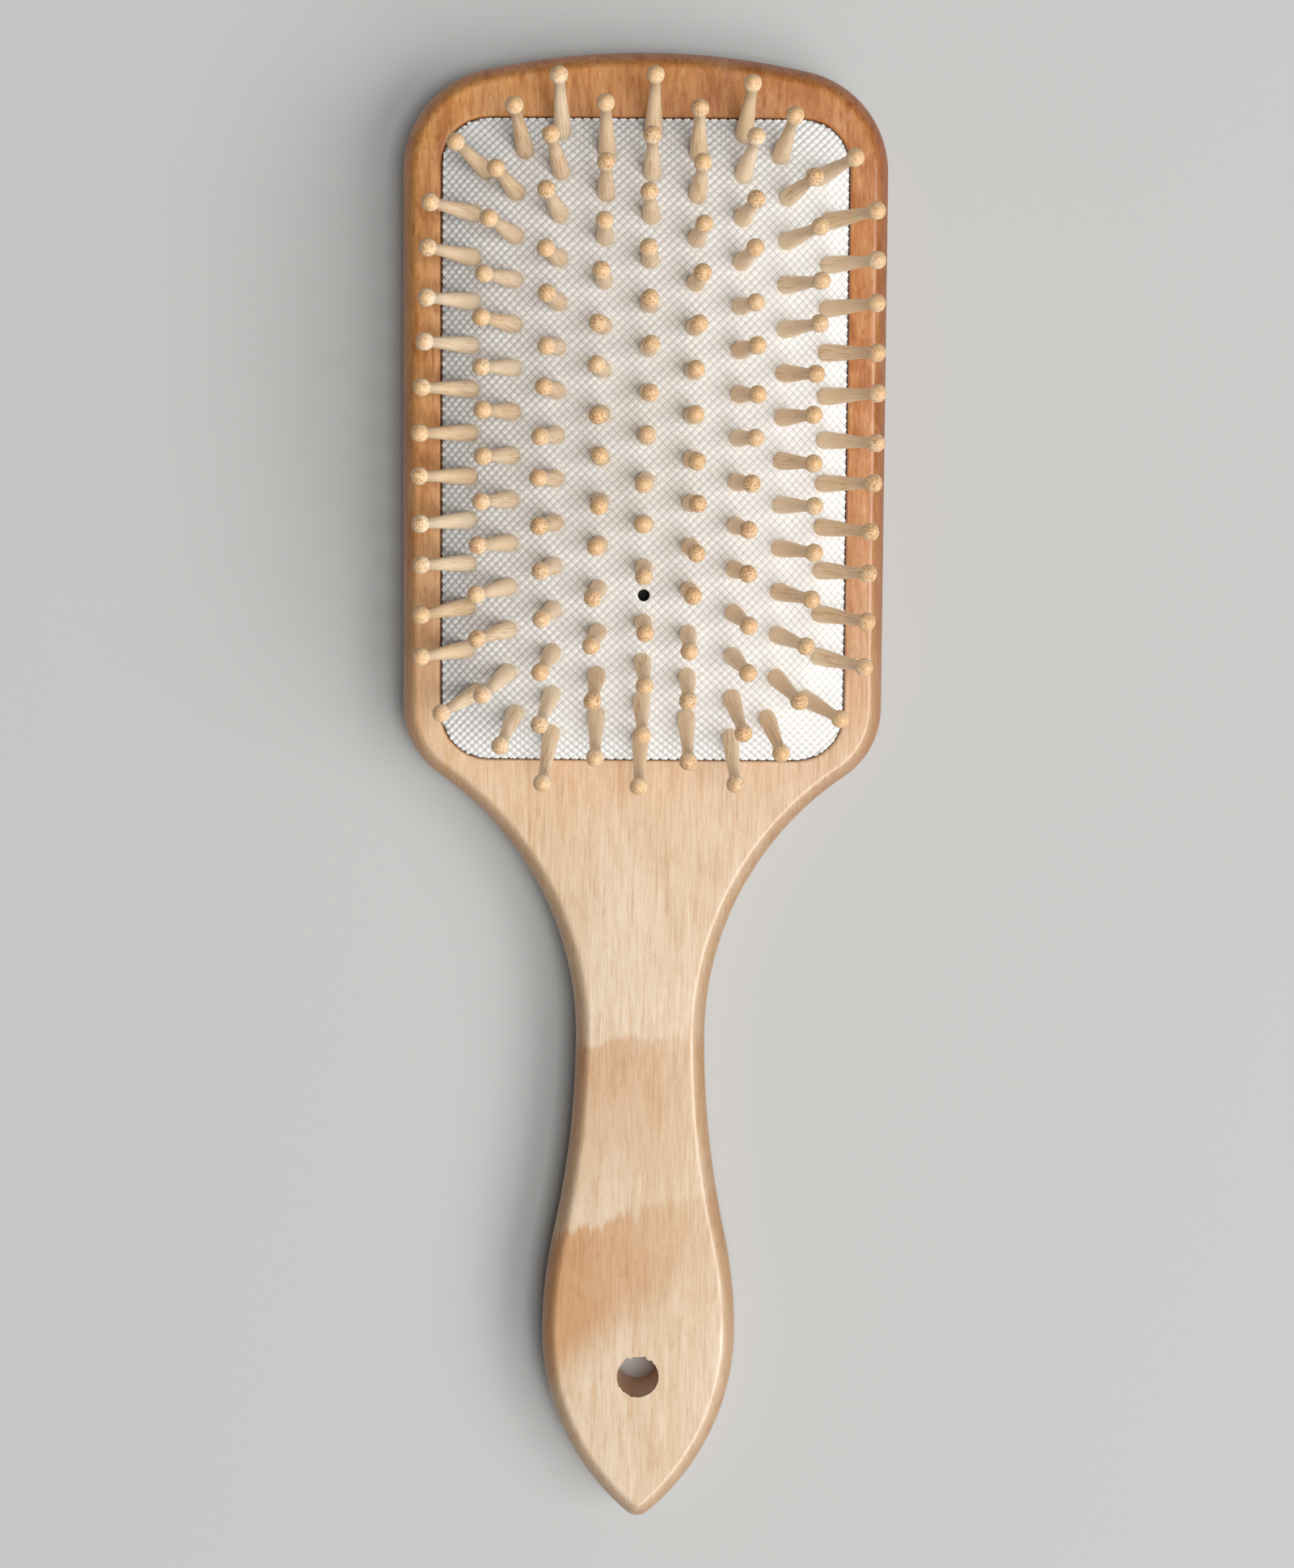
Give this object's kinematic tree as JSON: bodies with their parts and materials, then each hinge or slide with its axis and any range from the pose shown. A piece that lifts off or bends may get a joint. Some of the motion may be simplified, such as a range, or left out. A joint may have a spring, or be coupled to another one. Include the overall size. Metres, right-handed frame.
{
  "type": "paddle brush",
  "caption": "Wooden paddle hair brush: a domed rubber air cushion of ball-tipped bamboo pins that rock and sink, set in a one-piece head and handle with a hanging hole.",
  "frame": {"origin": "on the flat back of the paddle, at the middle of its length and width", "axes": "+X across the head, +Y along the brush from handle to head, +Z out of the pin side"},
  "size_m": [0.081, 0.25, 0.0382],
  "materials": {
    "wood": "satin varnish",
    "rubber": "matt, diamond knurl",
    "bamboo": "smooth, bare"
  },
  "bodies": {
    "paddle": {"paddle": "wood"},
    "cushion": {"cushion": "rubber"},
    "pins_column_1_bottom": {"pins_column_1_bottom": "bamboo"},
    "pins_column_1_middle": {"pins_column_1_middle": "bamboo"},
    "pins_column_1_top": {"pins_column_1_top": "bamboo"},
    "pins_column_2_bottom": {"pins_column_2_bottom": "bamboo"},
    "pins_column_2_middle": {"pins_column_2_middle": "bamboo"},
    "pins_column_2_top": {"pins_column_2_top": "bamboo"},
    "pins_column_3_bottom": {"pins_column_3_bottom": "bamboo"},
    "pins_column_3_middle": {"pins_column_3_middle": "bamboo"},
    "pins_column_3_top": {"pins_column_3_top": "bamboo"},
    "pins_column_4_bottom": {"pins_column_4_bottom": "bamboo"},
    "pins_column_4_middle": {"pins_column_4_middle": "bamboo"},
    "pins_column_4_top": {"pins_column_4_top": "bamboo"},
    "pins_column_5_bottom": {"pins_column_5_bottom": "bamboo"},
    "pins_column_5_middle": {"pins_column_5_middle": "bamboo"},
    "pins_column_5_top": {"pins_column_5_top": "bamboo"},
    "pins_column_6_bottom": {"pins_column_6_bottom": "bamboo"},
    "pins_column_6_middle": {"pins_column_6_middle": "bamboo"},
    "pins_column_6_top": {"pins_column_6_top": "bamboo"},
    "pins_column_7_bottom": {"pins_column_7_bottom": "bamboo"},
    "pins_column_7_middle": {"pins_column_7_middle": "bamboo"},
    "pins_column_7_top": {"pins_column_7_top": "bamboo"},
    "pins_column_8_bottom": {"pins_column_8_bottom": "bamboo"},
    "pins_column_8_middle": {"pins_column_8_middle": "bamboo"},
    "pins_column_8_top": {"pins_column_8_top": "bamboo"},
    "pins_column_9_bottom": {"pins_column_9_bottom": "bamboo"},
    "pins_column_9_middle": {"pins_column_9_middle": "bamboo"},
    "pins_column_9_top": {"pins_column_9_top": "bamboo"}
  },
  "joints": [
    {"name": "cushion_press", "type": "slide", "parent": "paddle", "child": "cushion", "axis": [0, 0, 1], "range_m": [-0.0025, 0], "stiffness_N_per_m": 1500, "deforming": ["cushion"]},
    {"name": "column_1_bottom_rock", "type": "hinge", "parent": "cushion", "child": "pins_column_1_bottom", "pos_m": [-0.0296, 0.02922, 0.01446], "axis": [0, 1, 0], "range_deg": [-8, 8], "stiffness_Nm_per_rad": 0.05},
    {"name": "column_1_middle_rock", "type": "hinge", "parent": "cushion", "child": "pins_column_1_middle", "pos_m": [-0.0291, 0.06181, 0.0148], "axis": [0, 1, 0], "range_deg": [-8, 8], "stiffness_Nm_per_rad": 0.05},
    {"name": "column_1_top_rock", "type": "hinge", "parent": "cushion", "child": "pins_column_1_top", "pos_m": [-0.02869, 0.09439, 0.01465], "axis": [0, 1, 0], "range_deg": [-8, 8], "stiffness_Nm_per_rad": 0.05},
    {"name": "column_2_bottom_rock", "type": "hinge", "parent": "cushion", "child": "pins_column_2_bottom", "pos_m": [-0.0225, 0.02916, 0.01649], "axis": [0, 1, 0], "range_deg": [-8, 8], "stiffness_Nm_per_rad": 0.05},
    {"name": "column_2_middle_rock", "type": "hinge", "parent": "cushion", "child": "pins_column_2_middle", "pos_m": [-0.0221, 0.06171, 0.01733], "axis": [0, 1, 0], "range_deg": [-8, 8], "stiffness_Nm_per_rad": 0.05},
    {"name": "column_2_top_rock", "type": "hinge", "parent": "cushion", "child": "pins_column_2_top", "pos_m": [-0.02159, 0.09426, 0.0164], "axis": [0, 1, 0], "range_deg": [-8, 8], "stiffness_Nm_per_rad": 0.05},
    {"name": "column_3_bottom_rock", "type": "hinge", "parent": "cushion", "child": "pins_column_3_bottom", "pos_m": [-0.0151, 0.02552, 0.01711], "axis": [0, 1, 0], "range_deg": [-8, 8], "stiffness_Nm_per_rad": 0.05},
    {"name": "column_3_middle_rock", "type": "hinge", "parent": "cushion", "child": "pins_column_3_middle", "pos_m": [-0.0146, 0.06161, 0.01862], "axis": [0, 1, 0], "range_deg": [-8, 8], "stiffness_Nm_per_rad": 0.05},
    {"name": "column_3_top_rock", "type": "hinge", "parent": "cushion", "child": "pins_column_3_top", "pos_m": [-0.01409, 0.0977, 0.01677], "axis": [0, 1, 0], "range_deg": [-8, 8], "stiffness_Nm_per_rad": 0.05},
    {"name": "column_4_bottom_rock", "type": "hinge", "parent": "cushion", "child": "pins_column_4_bottom", "pos_m": [-0.00751, 0.02896, 0.01799], "axis": [0, 1, 0], "range_deg": [-8, 8], "stiffness_Nm_per_rad": 0.05},
    {"name": "column_4_middle_rock", "type": "hinge", "parent": "cushion", "child": "pins_column_4_middle", "pos_m": [-0.0071, 0.06151, 0.01905], "axis": [0, 1, 0], "range_deg": [-8, 8], "stiffness_Nm_per_rad": 0.05},
    {"name": "column_4_top_rock", "type": "hinge", "parent": "cushion", "child": "pins_column_4_top", "pos_m": [-0.00659, 0.09405, 0.01772], "axis": [0, 1, 0], "range_deg": [-8, 8], "stiffness_Nm_per_rad": 0.05},
    {"name": "column_5_bottom_rock", "type": "hinge", "parent": "cushion", "child": "pins_column_5_bottom", "pos_m": [-0.00002, 0.02455, 0.01739], "axis": [0, 1, 0], "range_deg": [-8, 8], "stiffness_Nm_per_rad": 0.05},
    {"name": "column_5_middle_rock", "type": "hinge", "parent": "cushion", "child": "pins_column_5_middle", "pos_m": [0.0005, 0.0614, 0.0191], "axis": [0, 1, 0], "range_deg": [-8, 8], "stiffness_Nm_per_rad": 0.05},
    {"name": "column_5_top_rock", "type": "hinge", "parent": "cushion", "child": "pins_column_5_top", "pos_m": [0.00101, 0.09749, 0.01712], "axis": [0, 1, 0], "range_deg": [-8, 8], "stiffness_Nm_per_rad": 0.05},
    {"name": "column_6_bottom_rock", "type": "hinge", "parent": "cushion", "child": "pins_column_6_bottom", "pos_m": [0.00759, 0.02875, 0.01796], "axis": [0, 1, 0], "range_deg": [-8, 8], "stiffness_Nm_per_rad": 0.05},
    {"name": "column_6_middle_rock", "type": "hinge", "parent": "cushion", "child": "pins_column_6_middle", "pos_m": [0.008, 0.06129, 0.01903], "axis": [0, 1, 0], "range_deg": [-8, 8], "stiffness_Nm_per_rad": 0.05},
    {"name": "column_6_top_rock", "type": "hinge", "parent": "cushion", "child": "pins_column_6_top", "pos_m": [0.00851, 0.09384, 0.01771], "axis": [0, 1, 0], "range_deg": [-8, 8], "stiffness_Nm_per_rad": 0.05},
    {"name": "column_7_bottom_rock", "type": "hinge", "parent": "cushion", "child": "pins_column_7_bottom", "pos_m": [0.01509, 0.0251, 0.01703], "axis": [0, 1, 0], "range_deg": [-8, 8], "stiffness_Nm_per_rad": 0.05},
    {"name": "column_7_middle_rock", "type": "hinge", "parent": "cushion", "child": "pins_column_7_middle", "pos_m": [0.0156, 0.06119, 0.01851], "axis": [0, 1, 0], "range_deg": [-8, 8], "stiffness_Nm_per_rad": 0.05},
    {"name": "column_7_top_rock", "type": "hinge", "parent": "cushion", "child": "pins_column_7_top", "pos_m": [0.0161, 0.09728, 0.0167], "axis": [0, 1, 0], "range_deg": [-8, 8], "stiffness_Nm_per_rad": 0.05},
    {"name": "column_8_bottom_rock", "type": "hinge", "parent": "cushion", "child": "pins_column_8_bottom", "pos_m": [0.02259, 0.02854, 0.0164], "axis": [0, 1, 0], "range_deg": [-8, 8], "stiffness_Nm_per_rad": 0.05},
    {"name": "column_8_middle_rock", "type": "hinge", "parent": "cushion", "child": "pins_column_8_middle", "pos_m": [0.023, 0.06109, 0.01706], "axis": [0, 1, 0], "range_deg": [-8, 8], "stiffness_Nm_per_rad": 0.05},
    {"name": "column_8_top_rock", "type": "hinge", "parent": "cushion", "child": "pins_column_8_top", "pos_m": [0.0235, 0.09364, 0.01608], "axis": [0, 1, 0], "range_deg": [-8, 8], "stiffness_Nm_per_rad": 0.05},
    {"name": "column_9_bottom_rock", "type": "hinge", "parent": "cushion", "child": "pins_column_9_bottom", "pos_m": [0.02959, 0.02841, 0.01436], "axis": [0, 1, 0], "range_deg": [-8, 8], "stiffness_Nm_per_rad": 0.05},
    {"name": "column_9_middle_rock", "type": "hinge", "parent": "cushion", "child": "pins_column_9_middle", "pos_m": [0.0301, 0.06099, 0.01431], "axis": [0, 1, 0], "range_deg": [-8, 8], "stiffness_Nm_per_rad": 0.05},
    {"name": "column_9_top_rock", "type": "hinge", "parent": "cushion", "child": "pins_column_9_top", "pos_m": [0.0305, 0.09358, 0.01394], "axis": [0, 1, 0], "range_deg": [-8, 8], "stiffness_Nm_per_rad": 0.05}
  ]
}
